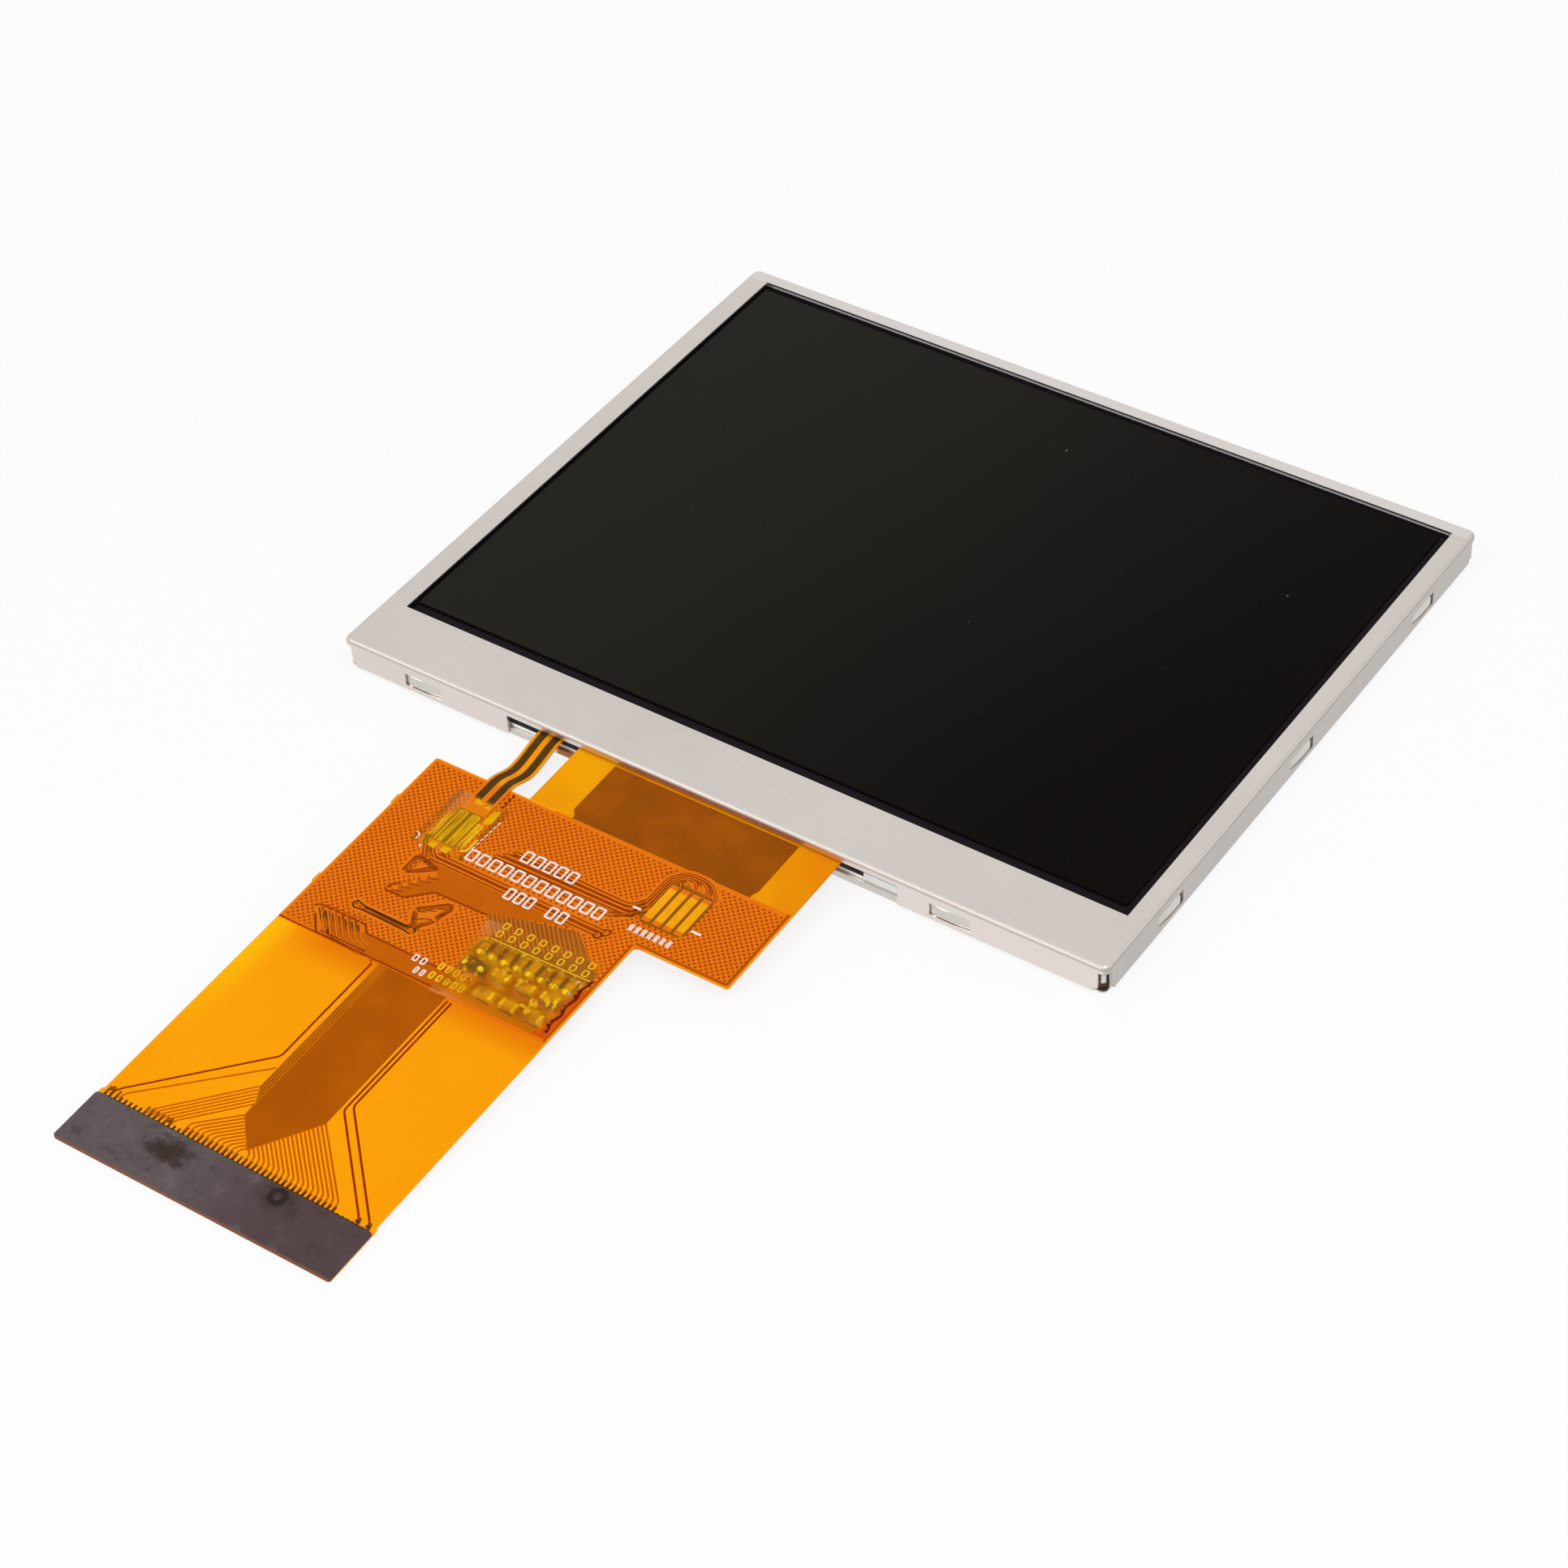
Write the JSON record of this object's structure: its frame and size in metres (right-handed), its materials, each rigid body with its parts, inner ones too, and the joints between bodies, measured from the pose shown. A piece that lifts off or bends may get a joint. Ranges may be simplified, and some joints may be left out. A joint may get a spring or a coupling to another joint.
{
  "type": "tft display module",
  "caption": "Thin landscape TFT display module in a stamped metal bezel, with a flat flexible circuit tail for a board connector.",
  "frame": {"origin": "middle of the module's flat back face, without the flex", "axes": "+X along the side that the flex leaves, to the right seen from the front; +Y away from the flex; +Z out of the screen"},
  "size_m": [0.0768, 0.1197, 0.0032],
  "materials": {
    "bezel_steel": "satin stamped sheet",
    "pan_steel": "satin stamped sheet",
    "white_plastic": "matt",
    "reflector": "silvery white film",
    "clear_acrylic": "clear",
    "diffuser": "frosted film",
    "prism_lower": "fine prisms",
    "prism_upper": "fine prisms",
    "led_plastic": "matt",
    "amber_strip": "glossy film",
    "black_tape": "matt",
    "polariser_back": "smooth",
    "glass_lower": "clear, dark from behind",
    "glass_upper": "clear, dark from behind",
    "polariser_front": "glossy dark film",
    "silicon": "polished",
    "bond_film": "conductive film",
    "amber_film": "glossy film over copper",
    "dark_plate": "satin",
    "gold": "gold plate",
    "solder": "tinned",
    "clear_tape": "clear yellow tape",
    "capacitor": "ceramic",
    "tin": "tinned",
    "black_epoxy": "moulded"
  },
  "bodies": {
    "root": {"front_bezel": "bezel_steel", "back_pan": "pan_steel", "mould_frame": "white_plastic", "reflector_film": "reflector", "light_guide": "clear_acrylic", "diffuser_film": "diffuser", "lower_prism_film": "prism_lower", "upper_prism_film": "prism_upper", "leds": "led_plastic", "led_flex": "amber_strip", "rim_tape": "black_tape", "lower_polariser": "polariser_back", "tft_glass": "glass_lower", "colour_filter_glass": "glass_upper", "upper_polariser": "polariser_front", "driver_chip": "silicon", "flex_bond": "bond_film", "main_flex": "amber_film", "stiffener": "dark_plate", "tail_contacts": "gold", "touch_pads": "gold", "led_pads": "gold", "led_solder": "solder", "joint_tape": "clear_tape", "capacitor_bodies": "capacitor", "capacitor_ends": "tin", "diode_body": "black_epoxy", "diode_leads": "tin", "parts_tape": "clear_tape"}
  },
  "joints": []
}
